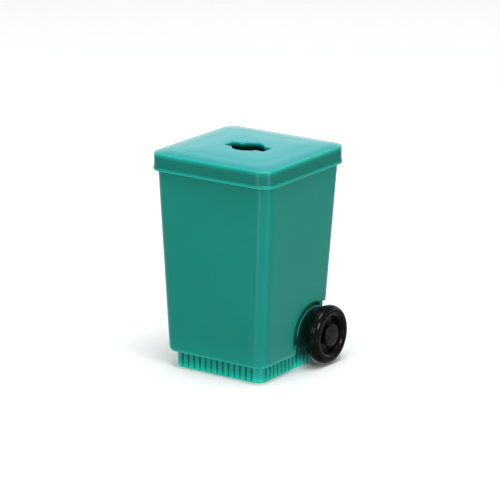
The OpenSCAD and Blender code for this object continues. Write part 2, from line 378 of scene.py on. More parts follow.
def hole_ring(grow, z):
    """The pencil hole with its slot, grown outwards, with as many points as a rect_ring."""
    end_steps, round_steps, edge_steps = 4, 4, 4
    arc_steps = 2 * SIDE_STEPS + CORNER_STEPS - end_steps - round_steps - edge_steps
    end_x = SLOT_X + grow
    edge_y = SLOT_Y + grow
    round_x = end_x - SLOT_CORNER
    join = math.asin(edge_y / (HOLE_R + grow))
    join_x = (HOLE_R + grow) * math.cos(join)
    end = [(end_x, (edge_y - SLOT_CORNER) * i / end_steps) for i in range(end_steps)]
    corner = arc((round_x, edge_y - SLOT_CORNER), SLOT_CORNER, 0, 90, round_steps)
    edge = [(round_x + (join_x - round_x) * i / edge_steps, edge_y) for i in range(1, edge_steps)]
    circle = arc((0, 0), HOLE_R + grow, math.degrees(join), 90, arc_steps)
    return whole_ring(end + corner + edge + circle, z)


# ---------------------------------------------------------------- lid
def lid_margin_rings():
    """The lid's top from its edge across the sloping margin to the crown, which swells a little."""
    rings = []
    margin_steps, crown_steps = 12, 6
    margin_z = lid_high.z - CROWN_SWELL
    for i in range(margin_steps + 1):
        t = i / margin_steps
        inset = LID_EDGE_R + (MARGIN - LID_EDGE_R) * t
        z = LID_EDGE_Z + (margin_z - LID_EDGE_Z) * (1 - (1 - t) ** 2)
        corner = LID_CORNER - LID_EDGE_R + (CROWN_CORNER - LID_CORNER + LID_EDGE_R) * t
        rings.append(rect_ring(LID_X - inset, LID_Y - inset, corner, z))
    for i in range(1, crown_steps + 1):
        t = i / crown_steps
        inset = MARGIN + (CROWN_INSET - MARGIN) * t
        z = margin_z + CROWN_SWELL * (1 - (1 - t) ** 2)
        rings.append(rect_ring(LID_X - inset, LID_Y - inset, CROWN_CORNER, z))
    return rings


def lid_side(path):
    """Rings that follow the lid's outline, from (inset, z)."""
    return [
        rect_ring(LID_X - inset, LID_Y - inset, max(LID_CORNER - inset, 0.5), z)
        for inset, z in path
    ]


def lid_socket_rings():
    """The socket for the sharpener, from its inner wall round its lower edge to its outer wall."""
    path = (
        (-0.05, 0.4, PLATE_Z),
        (0, 0.4, PLATE_Z - 0.05),
        (0, 0.4, lid_low.z + SOCKET_LEAD),
        (SOCKET_LEAD, 0.5, lid_low.z),
        (SOCKET_WALL - CHAMFER, 0.8, lid_low.z),
        (SOCKET_WALL, 1.0, lid_low.z + CHAMFER),
        (SOCKET_WALL, 1.0, PLATE_Z - FILLET),
        (SOCKET_WALL + FILLET, 1.4, PLATE_Z),
    )
    inner_x = body_high.x + HAIR
    inner_y = body_high.y + HAIR
    return [rect_ring(inner_x + out, inner_y + out, corner, z) for out, corner, z in path]


def build_lid():
    bead_top = SKIRT_Z + BEAD_H
    outside = (
        [(SKIRT_T - CHAMFER, SKIRT_Z)]
        + arc((SKIRT_FOOT_R - BEAD_OUT, SKIRT_Z + SKIRT_FOOT_R), SKIRT_FOOT_R, -90, -180, 4)
        + arc((BEAD_EDGE_R - BEAD_OUT, bead_top - BEAD_EDGE_R), BEAD_EDGE_R, 180, 100, 3)
        + [(0.0, bead_top + 0.04)]
        + arc((LID_EDGE_R, LID_EDGE_Z - LID_EDGE_R), LID_EDGE_R, 180, 108, 5)
    )
    inside = [
        (SKIRT_T + FILLET, PLATE_Z),
        (SKIRT_T + FILLET / 4, PLATE_Z - FILLET / 4),
        (SKIRT_T, PLATE_Z - FILLET),
        (SKIRT_T, SKIRT_Z + CHAMFER),
    ]
    hole = [hole_ring(HOLE_EDGE_R + step, lid_high.z) for step in (0.5, 0)]
    edge = arc((HOLE_EDGE_R, lid_high.z - HOLE_EDGE_R), HOLE_EDGE_R, 110, 180, 4)
    hole += [hole_ring(grow, z) for grow, z in edge]
    hole += [hole_ring(0, PLATE_Z + CHAMFER), hole_ring(CHAMFER, PLATE_Z)]
    rings = lid_side(outside) + lid_margin_rings() + hole + lid_socket_rings() + lid_side(inside)
    lid = loft("lid_moulding", rings)
    material = teal_plastic("lid_plastic", LID_COLOURS_AND_PAINTED_LIGHT, paint_hole_shade)
    finish_piece(lid, "lid", "lid_unit", material)


# ---------------------------------------------------------------- bin shell
def shell_share(z):
    """How far up the tapered part of the shell a height is, from 0 to 1."""
    return (z - SHELL_LOW.z) / (SHELL_TOP.z - SHELL_LOW.z)


def shell_ring(z, inset):
    """Outline of the tapered shell at a height, moved inwards."""
    half = SHELL_LOW.lerp(SHELL_TOP, shell_share(z))
    centre_y = SHELL_SHIFT * (1 - shell_share(z))
    return rect_ring(half.x - inset, half.y - inset, max(SHELL_CORNER - inset, 1.2), z, centre_y)


def shell_wall(z):
    """Thickness of the shell's wall at a height."""
    return WALL_LOW + (WALL_TOP - WALL_LOW) * shell_share(z)


def arch_cutter(side):
    """Cuts one wheel arch, from beside the base out past the shell."""
    outline = [(ARCH_REAR[0], 0.0), ARCH_REAR]
    outline += arc(ARCH_CENTRE, ARCH_R, *ARCH_ARC, 48)
    outline += [(ARCH_CENTRE[0], 0.0)]
    return side_prism("arch", outline, side * (BASE_X + 0.1), side * ARCH_OUT_X)


def build_shell():
    neck_x = LID_X - SKIRT_T - NECK_GAP
    neck_y = LID_Y - SKIRT_T - NECK_GAP
    low_z = SHELL_LOW.z
    top_z = SHELL_TOP.z
    rim_z = shell_high.z
    lower_edge = [
        shell_ring(low_z + SHELL_EDGE_R * (1 - math.cos(a)), SHELL_EDGE_R * (1 - math.sin(a)))
        for a in (math.radians(15 * i) for i in range(7))
    ]
    walls = [shell_ring(low_z + (top_z - low_z) * share, 0) for share in (0.25, 0.5, 0.75)]
    shoulder = [shell_ring(top_z - CHAMFER, 0), shell_ring(top_z - 0.06, 0.06), shell_ring(top_z, CHAMFER)]
    rim = [(NECK_EDGE_R * across, NECK_EDGE_R * down) for across, down in ((0, 1), (0.3, 0.3), (1, 0))]
    neck = [
        rect_ring(neck_x - inset, neck_y - inset, NECK_CORNER, z)
        for inset, z in [(0, top_z)] + [(across, rim_z - down) for across, down in rim]
    ]
    inside = [
        shell_ring(rim_z, shell_wall(rim_z) + CHAMFER),
        shell_ring(rim_z - CHAMFER, shell_wall(rim_z)),
        shell_ring(SHELL_MIDDLE_Z, shell_wall(SHELL_MIDDLE_Z)),
        shell_ring(low_z + 0.1, WALL_LOW),
        shell_ring(low_z, WALL_LOW - 0.1),
    ]
    shell = loft("shell_moulding", lower_edge + walls + shoulder + neck + inside)
    boolean(shell, "DIFFERENCE", arch_cutter(-1), arch_cutter(1))
    bevel(shell, ARCH_EDGE_R, 3)
    material = teal_plastic("shell_plastic", SHELL_COLOURS_AND_PAINTED_LIGHT)
    finish_piece(shell, "bin_shell", "bin", material)


# ---------------------------------------------------------------- base
def groove_path(depth, width):
    """A groove with rounded lips and a round bottom, as (place along the wall, depth).

    With no depth it is a straight line of as many points, none of them in the same place.
    """
    half = width / 2
    outer = arc((-half - GROOVE_LIP, GROOVE_LIP), GROOVE_LIP, -90, 0, 4)
    inner = [(s, depth - half - t) for s, t in arc((0, 0), half, 180, 360, 6)]
    if depth == 0:
        start = -half - GROOVE_LIP
        outer = [(start + (s - start) * 0.6, 0.0) for s, d in outer]
        inner = [(s, 0.0) for s, d in inner]
    return outer + inner + [(-s, d) for s, d in reversed(outer)]


def base_ring(z, inset, depth=GROOVE_DEPTH, width=GROOVE_W):
    """Outline of the base at a height, with its grooves, or with the same points and no grooves."""
    half_x = BASE_X - inset
    half_y = BASE_Y - inset
    corner = max(BASE_CORNER - inset, 0.8)
    corner_steps = 10
    reach = (GROOVES - 1) // 2
    points = []
    for turn in range(4):
        half_n, half_t, pitch = (half_y, half_x, PITCH_X) if turn % 2 == 0 else (half_x, half_y, PITCH_Y)
        squeeze = min(1.0, (half_t - corner) / (reach * pitch + width / 2 + GROOVE_LIP))
        side = [
            ((i * pitch + s) * squeeze, -half_n + d)
            for i in range(-reach, reach + 1)
            for s, d in groove_path(depth, width)
        ]
        side += arc((half_t - corner, -half_n + corner), corner, -90, 0, corner_steps)
        turned = Matrix.Rotation(turn * math.pi / 2, 2)
        points += [turned @ Vector(p) for p in side]
    return [(p.x, p.y + SHELL_SHIFT, z) for p in points]


def pad(side):
    """The raised pad beside one wheel, with the front part of its edge round."""
    edge = [(BASE_Y + PAST, PAD_FOOT[1]), (BASE_Y + PAST, PAD_TOP)]
    edge += arc(PAD_CENTRE, PAD_R, 90, PAD_ARC_END, 36) + [PAD_FOOT]
    made = side_prism("pad", edge, side * (BASE_X - PAD_T), side * (BASE_X - HAIR))
    heights = (PAD_FOOT[1] - PAST, PAD_TOP + PAST)
    within = loft("inside", [shell_ring(z, shell_wall(z) + PAD_GAP) for z in heights], closed=False)
    boolean(made, "INTERSECT", within)
    bevel(made, PAD_EDGE_R, 3)
    made.modifiers.new("flat_faces", "TRIANGULATE")
    return applied(made)


def pad_grooves(side):
    """Upright bars that cut the pad's grooves, each with a round upper end and a hair of clearance."""
    half = GROOVE_W / 2 + HAIR
    outline = [(s, z - half) for s, z in arc((0, PAD_RIB_TOP), half, 0, 180, 8)]
    outline += [(-half, BASE_SKIRT_Z - 0.5), (half, BASE_SKIRT_Z - 0.5)]
    ends = side * (BASE_X - GROOVE_DEPTH - 0.03), side * (BASE_X + PAST)
    centres = [SHELL_SHIFT + i * PITCH_Y for i in PAD_GROOVES]
    return [side_prism("bar", [(y + s, z) for s, z in outline], *ends) for y in centres]


def axle_tube(name, radius, half_length):
    """A cylinder round the axle's line."""
    outline = [(0, -half_length), (radius, -half_length), (radius, half_length), (0, half_length)]
    return place(lathe(name, outline, 64), on_axle(1))


def build_base():
    foot = [
        base_ring(
            RIB_END_R * (1 - math.cos(a)),
            RIB_END_R * (1 - math.sin(a)) * 0.8,
            width=GROOVE_W + RIB_END_R * (1 - math.sin(a)),
        )
        for a in (math.radians(15 * i) for i in range(7))
    ]
    skirt_top = [base_ring(BASE_SKIRT_Z - 0.15, 0), base_ring(BASE_SKIRT_Z, 0.15)]
    flange_z = base_high.z - FLANGE_T
    hollow = BASE_STEP + BASE_WALL
    upper = [
        base_ring(z, inset, depth=0)
        for z, inset in (
            (BASE_SKIRT_Z, BASE_STEP),
            (flange_z, BASE_STEP),
            (flange_z, 0.1 - FLANGE_OUT),
            (flange_z + 0.1, -FLANGE_OUT),
            (base_high.z - CHAMFER, -FLANGE_OUT),
            (base_high.z, CHAMFER - FLANGE_OUT),
            (base_high.z, hollow - CHAMFER),
            (base_high.z - CHAMFER, hollow),
            (BASE_FLOOR + FILLET, hollow),
            (BASE_FLOOR, hollow + FILLET),
        )
    ]
    rings = [base_ring(0, hollow, depth=0)] + foot + skirt_top + upper
    base = loft("base_moulding", rings, closed=False)
    corner_y = SHELL_SHIFT + BASE_Y - hollow
    for side in (-1, 1):
        near, far = sorted((side * (BASE_X - hollow), side * (BASE_X - BASE_STEP)))
        highest = (far, CORNER_WALL_REAR, flange_z + 0.3)
        corner_wall = box("corner", (near, corner_y, SHELL_LOW.z), highest)
        boolean(base, "UNION", corner_wall, pad(side))
        boolean(base, "DIFFERENCE", *pad_grooves(side))
    boolean(base, "UNION", axle_tube("housing", HOUSING_R, BASE_X - 0.2))
    boolean(base, "DIFFERENCE", axle_tube("bore", AXLE_R + HAIR, BASE_X + PAST))
    material = teal_plastic("base_plastic", BASE_COLOURS_AND_PAINTED_LIGHT, paint_base_light)
    finish_piece(base, "base", "bin", material)


# ---------------------------------------------------------------- wheels, caps and axle
def wheel_outline():
    """Round the wheel's section, as (radius, distance outwards from the middle of the tyre)."""
    bore = AXLE_R + 0.05
    chamfer = 0.15
    inner = WHEEL_R - TYRE_T
    corner_in = inner + TYRE_CORNER
    corner_out = WHEEL_R - TYRE_CORNER
    shoulder = TYRE_HALF - TYRE_CORNER
    web_angle = math.degrees(math.asin((-WEB_IN - shoulder) / TYRE_CORNER))
    parting = WHEEL_R + 0.05
    return (
        [(bore, HUB_OUT - chamfer), (bore + chamfer, HUB_OUT)]
        + arc((HUB_R - CHAMFER, HUB_OUT - CHAMFER), CHAMFER, 90, 0, 4)
        + arc((HUB_R + chamfer, WEB_OUT + chamfer), chamfer, 180, 270, 4)
        + arc((inner - CHAMFER, WEB_OUT + CHAMFER), CHAMFER, 270, 360, 5)
        + arc((corner_in, shoulder), TYRE_CORNER, 180, 90, 12)
        + arc((corner_out, shoulder), TYRE_CORNER, 90, 0, 14)
        + [(WHEEL_R, 0.12), (parting, 0.05), (parting, -0.05), (WHEEL_R, -0.12)]
        + arc((corner_out, -shoulder), TYRE_CORNER, 0, -90, 14)
        + arc((corner_in, -shoulder), TYRE_CORNER, -90, web_angle - 180, 8)
        + arc((HUB_R + FILLET, WEB_IN - FILLET), FILLET, 90, 180, 5)
        + arc((HUB_R - CHAMFER, CHAMFER - HUB_IN), CHAMFER, 0, -90, 4)
        + [(bore + chamfer, -HUB_IN), (bore, chamfer - HUB_IN)]
    )


def cap_outline():
    """Round the hub cap's section, with a domed face and a blind hole for the axle."""
    edge_r = 0.3
    chamfer = 0.15
    hole = AXLE_R + HAIR
    dome_h = TYRE_HALF - CAP_RIM_HIGH
    dome = [
        (CAP_R * share, CAP_RIM_HIGH + dome_h * (1 - share**2))
        for share in (0.85, 0.75, 0.6, 0.45, 0.3, 0.15)
    ]
    return (
        [(0, CAP_HOLE_TOP), (hole, CAP_HOLE_TOP)]
        + [(hole, CAP_FOOT + chamfer), (hole + chamfer, CAP_FOOT)]
        + [(CAP_SLEEVE_R - 0.1, CAP_FOOT), (CAP_SLEEVE_R, CAP_FOOT + 0.1), (CAP_SLEEVE_R, CAP_RIM_LOW)]
        + [(CAP_R - 0.1, CAP_RIM_LOW), (CAP_R, CAP_RIM_LOW + 0.1)]
        + arc((CAP_R - edge_r, CAP_RIM_HIGH - edge_r + 0.03), edge_r, 0, 75, 5)
        + dome
        + [(0, TYRE_HALF)]
    )


def build_wheel_set():
    tyre_material = black_plastic("wheel_plastic", 0.14, 0.0045, 0.2)
    cap_material = black_plastic("cap_plastic", 0.28, 0.0075, 0.32)
    for side, word in ((-1, "left"), (1, "right")):
        hub = on_axle(side) @ Matrix.Translation((0, 0, WHEEL_X))
        wheel = place(lathe(f"{word}_wheel_moulding", wheel_outline(), 160), hub)
        finish_piece(wheel, f"wheel_{word}", f"{word}_wheel", tyre_material)
        cap = place(lathe(f"{word}_hub_cap_disc", cap_outline(), 96), hub)
        finish_piece(cap, f"hub_cap_{word}", "bin", cap_material)


def build_axle():
    end = axle_high.x
    chamfer = 0.25
    outline = [
        (0, -end),
        (AXLE_R - chamfer, -end),
        (AXLE_R, -end + chamfer),
        (AXLE_R, end - chamfer),
        (AXLE_R - chamfer, end),
        (0, end),
    ]
    axle = place(lathe("axle_rod", outline, 64), on_axle(1))
    finish_piece(axle, "axle", "bin", steel("axle_steel", 0.55, 0.3, 0.4))


# ---------------------------------------------------------------- sharpener
def turned(name, outline, matrix, segments=64):
    """A lathed solid, put in its place."""
    return place(lathe(name, outline, segments), matrix)


def cylinder(name, radius, z0, z1, matrix, segments=64):
    """A cylinder from z0 to z1, put in its place."""
    outline = [(0, z0), (radius, z0), (radius, z1), (0, z1)]
    return turned(name, outline, matrix, segments)


def grip_cuts(side):
    """The hollow for a finger in one side of the sharpener, and the fine grooves across it."""
    half_length = 10.0
    waist_z = body_low.z + WAIST_UP
    across = Matrix.Rotation(math.pi / 2, 4, "X")
    waist_x = side * (body_high.x + WAIST_R - WAIST_DEPTH)
    lying = Matrix.Translation((waist_x, 0, waist_z)) @ across
    cuts = [cylinder("waist", WAIST_R, -half_length, half_length, lying, 128)]
    for i in range(-4, 5):
        up = GRIP_PITCH * i
        sag = WAIST_R - math.sqrt(WAIST_R**2 - up**2)
        groove_x = side * (body_high.x - WAIST_DEPTH + sag + HAIR)
        lying = Matrix.Translation((groove_x, 0, waist_z + up)) @ across
        cuts.append(cylinder("grip", GRIP_R, -half_length, half_length, lying, 12))
    return cuts


def sharpener_cuts():
    """Everything that is cut out of the sharpener's block."""
    mouth_r = GUIDE_R + FILLET
    funnel = [
        (0, body_low.z - PAST),
        (TIP_R, body_low.z - PAST),
        (TIP_R, APEX_Z + TIP_R / math.tan(POINT_ANGLE)),
        (GUIDE_R, body_high.z - GUIDE_L),
        (GUIDE_R, body_high.z - FILLET),
        (mouth_r, body_high.z),
        (mouth_r, body_high.z + PAST),
        (0, body_high.z + PAST),
    ]
    plane = on_blade_plane()
    width = 2 * body_high.x
    window = [(0.3, -2), (0.3, 1.7), (-1, 1.7), (-5.2, -0.3), (-5.2, -2)]
    window_rings = [[(x, y, z) for x, y in window] for z in (1.5, BLADE_HEAD)]
    cuts = [
        turned("funnel", funnel, Matrix.Identity(4), 96),
        place(box("face", (-width, -width - 0.3, -width), (width, -0.3, FACE_L)), plane),
        place(box("seat", (0, -2, -width), (width, 0, BLADE_HEAD + 0.1)), plane),
        place(loft("window", window_rings, closed=False), plane),
    ]
    for side in (-1, 1):
        cuts += grip_cuts(side)
    cuts.append(cylinder("screw_hole", SCREW_R + HAIR, -SCREW_L - HAIR, 3, on_screw(), 48))
    return cuts


def build_sharpener_body():
    block = box("sharpener_block", body_low, body_high)
    for cut in sharpener_cuts():
        boolean(block, "DIFFERENCE", cut)
    bevel(block, 0.15, 2, 40)
    material = black_plastic("sharpener_plastic", 0.5, 0.012, 0.35)
    finish_piece(block, "sharpener_body", "lid_unit", material)


def build_blade():
    section = [(0, 0), (BLADE_W, 0), (BLADE_W, -BLADE_T), (BLADE_BEVEL, -BLADE_T)]
    rings = [[(x, y, z) for x, y in section] for z in (BLADE_FOOT, BLADE_HEAD)]
    blade = place(loft("blade_plate", rings, closed=False), on_blade_plane())
    boolean(blade, "DIFFERENCE", cylinder("hole", SCREW_R + 0.1, -2, 3, on_screw(), 48))
    bevel(blade, 0.03, 1, 30)
    material = steel("blade_steel", 0.62, 0.22, 1.0)
    finish_piece(blade, "blade", "lid_unit", material)


def build_screw():
    edge_r = 0.5
    outline = [(0, -SCREW_L), (SCREW_R - 0.3, -SCREW_L)]
    for i in range(8):
        z = -SCREW_L + 0.3 + THREAD_PITCH * i
        outline += [(SCREW_R - 0.22, z), (SCREW_R, z + 0.2), (SCREW_R, z + 0.28)]
    outline += [(SCREW_R, -HAIR), (SCREW_HEAD_R - 0.15, 0), (SCREW_HEAD_R, 0.15)]
    outline += arc((SCREW_HEAD_R - edge_r, SCREW_HEAD_H - edge_r), edge_r, 0, 80, 5)
    outline += [(0.8, SCREW_HEAD_H - 0.01), (0, SCREW_HEAD_H)]
    seat = on_screw(BLADE_T)
    screw = turned("screw_turned", outline, seat, 64)
    slot = box("slot", (-3, -0.3, 0.6), (3, 0.3, 2))
    boolean(screw, "DIFFERENCE", place(slot, seat))
    material = steel("screw_steel", 0.52, 0.3, 0.5)
    finish_piece(screw, "blade_screw", "lid_unit", material)


# ---------------------------------------------------------------- materials
TEAL = (0.0015, 0.213, 0.164)
# Painted glow of light through thin edges
TEAL_THIN_GLOW = (0.004, 0.46, 0.35)
# Painted shade, where little light falls
TEAL_SHADED = (0.001, 0.16, 0.125)
# The lid's top, painted lighter and bluer where more light falls on it
TEAL_LIT_TOP = (0.002, 0.315, 0.312)
# The base's teal, a little lighter than TEAL, which paints out shade that falls on the base
TEAL_BASE = (0.0015, 0.245, 0.2)
# Painted glow on the base's lowest edge, lit from the pale floor
TEAL_LOW_GLOW = (0.003, 0.84, 0.58)
# Painted highlight along the pads' round edges
TEAL_RIM_HIGHLIGHT = (0.08, 0.45, 0.4)

# Colours of the plastic at heights in millimetres, with painted light: a glow painted on thin edges, painted
# shade where little light falls, and a lid top painted lighter where more light falls
LID_COLOURS_AND_PAINTED_LIGHT = (
    (SKIRT_Z, TEAL_THIN_GLOW),
    (SKIRT_Z + 0.45, blend(TEAL_SHADED, TEAL_THIN_GLOW, 0.5)),
    (SKIRT_Z + BEAD_H, blend(TEAL_SHADED, TEAL_THIN_GLOW, 0.12)),
    (SKIRT_Z + BEAD_H + 0.2, TEAL_SHADED),
    (LID_EDGE_Z - 1.3, TEAL_SHADED),
    (LID_EDGE_Z - 0.7, blend(TEAL_SHADED, TEAL_THIN_GLOW, 0.25)),
    (LID_EDGE_Z - 0.3, blend(TEAL_SHADED, TEAL_THIN_GLOW, 0.7)),
    (LID_EDGE_Z + 0.02, blend(TEAL_LIT_TOP, TEAL_THIN_GLOW, 0.25)),
    (LID_EDGE_Z + 0.12, blend(TEAL_SHADED, TEAL_LIT_TOP, 0.75)),
    (lid_high.z - CROWN_SWELL, TEAL_LIT_TOP),
    (lid_high.z, TEAL_LIT_TOP),
)
# Shell: a painted glow on its lower edge and painted shade under the lid
SHELL_COLOURS_AND_PAINTED_LIGHT = (
    (SHELL_LOW.z, TEAL_THIN_GLOW),
    (SHELL_LOW.z + 0.5, blend(TEAL, TEAL_THIN_GLOW, 0.7)),
    (SHELL_LOW.z + 1.2, blend(TEAL, TEAL_THIN_GLOW, 0.1)),
    (SHELL_LOW.z + 6.0, TEAL),
    (SHELL_TOP.z - 4.0, TEAL),
    (SHELL_TOP.z - 0.6, blend(TEAL, TEAL_SHADED, 0.3)),
    (SHELL_TOP.z, TEAL_SHADED),
)
# Base: a painted glow low down and under the shell's edge, and painted shade from 6 mm up, behind the wheels
BASE_COLOURS_AND_PAINTED_LIGHT = (
    (0.0, TEAL_LOW_GLOW),
    (0.5, blend(TEAL_BASE, TEAL_LOW_GLOW, 0.65)),
    (1.4, blend(TEAL_BASE, TEAL_LOW_GLOW, 0.27)),
    (2.8, blend(TEAL_BASE, TEAL_LOW_GLOW, 0.12)),
    (4.2, blend(TEAL_BASE, TEAL_LOW_GLOW, 0.12)),
    (5.0, TEAL_BASE),
    (6.0, TEAL_SHADED),
    (PAD_TOP, TEAL_SHADED),
)

# How much darker or lighter the base is in its grooves and beside the wheels, at heights in
# millimetres: light comes up through its thin lower edge
GROOVE_SHADE = (
    (0.0, (1.0, 1.2, 1.4)),
    (1.2, (1.0, 1.1, 1.3)),
    (2.2, (1.0, 0.8, 1.0)),
    (3.2, (1.0, 0.62, 0.84)),
    (BASE_SKIRT_Z, (1.0, 0.62, 0.84)),
)
PAD_SHADE = (
    (0.0, pale(1.25)),
    (1.2, pale(1.25)),
    (1.8, pale(1.0)),
    (2.6, pale(0.6)),
    (3.3, pale(0.38)),
    (PAD_TOP, pale(0.36)),
)
HOLE_SHADE = pale(0.12)


class Nodes:
    """Short calls for building the node tree of a material or a world.

    A value is a socket, a number, a vector or a colour.
    """

    def __init__(self, owner):
        owner.use_nodes = True
        self.owner = owner
        self.tree = owner.node_tree

    def feed(self, node, inputs):
        """Gives a node's inputs their values, by the input's name or number."""
        for key, value in inputs.items():
            target = node.inputs[key]
            if isinstance(value, bpy.types.NodeSocket):
                self.tree.links.new(value, target)
            elif target.type == "RGBA":
                target.default_value = (*value, 1)
            else:
                target.default_value = value

    def add(self, kind, inputs=None, **settings):
        node = self.tree.nodes.new(kind)
        for key, value in settings.items():
            setattr(node, key, value)
        self.feed(node, inputs or {})
        return node

    def surface(self, inputs):
        """Gives the material's shader its inputs and returns the material."""
        self.feed(self.tree.nodes["Principled BSDF"], inputs)
        return self.owner

    def place(self, space="Object"):
        """The point in the piece's own space, or the direction in the world's."""
        return self.add("ShaderNodeTexCoord").outputs[space]

    def split(self, vector):
        """The x, y and z of a vector."""
        return self.add("ShaderNodeSeparateXYZ", {0: vector}).outputs

    def math(self, operation, first, second=0.0):
        return self.add("ShaderNodeMath", {0: first, 1: second}, operation=operation).outputs[0]

    def product(self, *values):
        result = values[0]
        for value in values[1:]:
            result = self.math("MULTIPLY", result, value)
        return result

    def map_range(self, value, low, high, to_low=0.0, to_high=1.0, kind="LINEAR"):
        inputs = {"Value": value, "From Min": low, "From Max": high, "To Min": to_low, "To Max": to_high}
        return self.add("ShaderNodeMapRange", inputs, interpolation_type=kind).outputs["Result"]

    def step(self, value, start, end):
        """Rises from 0 at start to 1 at end, both in millimetres."""
        return self.map_range(value, start * MM, end * MM)

    def choose(self, share, first, second):
        """The first number where share is 0, and the second where it is 1."""
        return self.add("ShaderNodeMix", {0: share, 2: first, 3: second}, data_type="FLOAT").outputs[0]

    def mix(self, share, first, second, blend_type="MIX"):
        """Mixes two colours."""
        inputs = {0: share, 6: first, 7: second}
        return self.add("ShaderNodeMix", inputs, data_type="RGBA", blend_type=blend_type).outputs[2]

    def brighter(self, colour, factor):
        """A colour multiplied by another."""
        return self.mix(1.0, colour, factor, "MULTIPLY")

    def ramp(self, share, stops):
        """A colour from stops as (place, colour), where share runs from 0 to 1 over all of them."""
        low, high = stops[0][0], stops[-1][0]
        node = self.add("ShaderNodeValToRGB", {"Fac": share})
        elements = node.color_ramp.elements
        while len(elements) < len(stops):
            elements.new(0.5)
        for element, (stop, colour) in zip(elements, stops):
            element.position = (stop - low) / (high - low)
            element.color = (*colour, 1)
        return node.outputs["Color"]

    def height_colour(self, stops):
        """A colour that changes with height, from stops as (height in millimetres, colour)."""
        share = self.step(self.split(self.place())["Z"], stops[0][0], stops[-1][0])
        return self.ramp(share, stops)

    def noise(self, scale, detail=2.0, stretch=None):
        """Noise in the piece's own space, with stretch as a scale along each axis."""
        point = self.place()
        if stretch:
            mapping = self.add("ShaderNodeMapping", {"Vector": point, "Scale": stretch})
            point = mapping.outputs["Vector"]
        inputs = {"Vector": point, "Scale": scale, "Detail": detail}
        return self.add("ShaderNodeTexNoise", inputs).outputs["Fac"]

    def bump(self, height, distance, strength):
        """A normal roughened by a height, with the distance in metres."""
        inputs = {"Height": height, "Distance": distance, "Strength": strength}
        return self.add("ShaderNodeBump", inputs).outputs["Normal"]

    def upright_corner(self):
        """1 on the middle of the upright rounded corners and 0 on the flat sides."""
        normal = self.split(self.place("Normal"))
        turn = self.math("ABSOLUTE", self.math("MULTIPLY", normal["X"], normal["Y"]))
        return self.math("MULTIPLY", turn, 2.0)


def paint_hole_shade(n, colour):
    """Paints shade on the wall of the pencil hole and its slot, darker towards the bottom."""
    x, y, z = n.split(n.place())
    near_x = n.step(n.math("ABSOLUTE", x), SLOT_X + 0.3, SLOT_X + 0.1)
    near_y = n.step(n.math("ABSOLUTE", y), HOLE_R + 0.3, HOLE_R + 0.1)
    deep = n.step(z, lid_high.z - 0.3, lid_high.z - 1.0)
    return n.mix(n.product(near_x, near_y, deep), colour, n.brighter(colour, HOLE_SHADE))


def pad_distance(n, y, z):
    """How far a point is from the pad's centre, or from it square to the straight foot of its edge."""
    end = math.radians(PAD_ARC_END)
    back = n.math("SUBTRACT", y, PAD_CENTRE[0] * MM)
    up = n.math("SUBTRACT", z, PAD_CENTRE[1] * MM)
    squares = n.math("ADD", n.math("POWER", back, 2.0), n.math("POWER", up, 2.0))
    across = n.math("ADD", n.math("MULTIPLY", back, math.cos(end)), n.math("MULTIPLY", up, math.sin(end)))
    join_z = PAD_CENTRE[1] + PAD_R * math.sin(end)
    return n.choose(n.step(z, join_z, join_z - 0.02), n.math("SQRT", squares), across)


def groove_share(n, x, y, z):
    """1 in the grooves of the skirt, 0 on its outer faces and on its corners."""
    flat_x = BASE_X - BASE_CORNER
    flat_y = BASE_Y - BASE_CORNER
    in_front = n.product(n.step(y, BASE_Y - 0.15, BASE_Y - 0.4), n.step(x, flat_x + 0.1, flat_x))
    in_side = n.product(n.step(x, BASE_X - 0.15, BASE_X - 0.4), n.step(y, flat_y + 0.1, flat_y))
    return n.product(n.math("MAXIMUM", in_front, in_side), n.step(z, BASE_SKIRT_Z, BASE_SKIRT_Z - 0.1))


def paint_base_light(n, colour):
    """Paints shade in the grooves and on the pads behind the wheels, lighter low in the grooves, and a
    painted highlight on the pads' round edges.
    """
    x, y, z = n.split(n.place())
    aside = n.math("ABSOLUTE", x)
    along = n.math("ABSOLUTE", n.math("SUBTRACT", y, SHELL_SHIFT * MM))
    # Painted shade in the grooves, with a painted glow low down in them
    grooves = groove_share(n, aside, along, z)
    colour = n.mix(grooves, colour, n.brighter(colour, n.height_colour(GROOVE_SHADE)))

    # Painted shade on the pads behind the wheels
    distance = pad_distance(n, y, z)
    on_pad = n.step(aside, BASE_X - 1.5, BASE_X - 1.2)
    inside = n.step(distance, PAD_R - 0.15, PAD_R - 0.3)
    shaded = n.brighter(colour, n.height_colour(PAD_SHADE))
    colour = n.mix(n.product(inside, on_pad), colour, shaded)
    # Painted highlight on the pads' round edges
    rim = n.product(n.step(distance, PAD_R - 0.22, PAD_R - 0.15), n.step(distance, PAD_R + 0.3, PAD_R + 0.1))
    outermost = n.step(aside, BASE_X - 0.18, BASE_X - 0.1)
    return n.mix(n.product(rim, outermost, n.step(z, 3.9, 4.3)), colour, TEAL_RIM_HIGHLIGHT)


def teal_plastic(name, colours, painted_light=None):
    """Moulded teal plastic, a little uneven in tone, with painted light: colours that change with height,
    painted shade and highlights, and a painted glow on upright corners.
    """
    n = Nodes(bpy.data.materials.new(name))
    plain = n.height_colour(colours)
    if painted_light:
        plain = painted_light(n, plain)
    mottled = n.mix(n.noise(70, 1), n.brighter(plain, (1, 1.03, 1.03)), n.brighter(plain, (1, 0.97, 0.97)))
    # Painted light: upright rounded corners lighter and bluer, where more light falls on them
    corner = n.map_range(n.upright_corner(), 0.15, 0.8)
    return n.surface({
        "Base Color": n.mix(corner, mottled, n.brighter(mottled, (0.8, 1.09, 1.16))),
        "Roughness": n.map_range(n.noise(90, 1), 0, 1, 0.22, 0.28),
        "Normal": n.bump(n.noise(70, 1), 0.0002, 0.08),
        "Specular IOR Level": 0.5,
        "Subsurface Weight": 0.12,
        "Subsurface Radius": (0.15, 1.0, 0.8),
        "Subsurface Scale": 0.0012,
    })


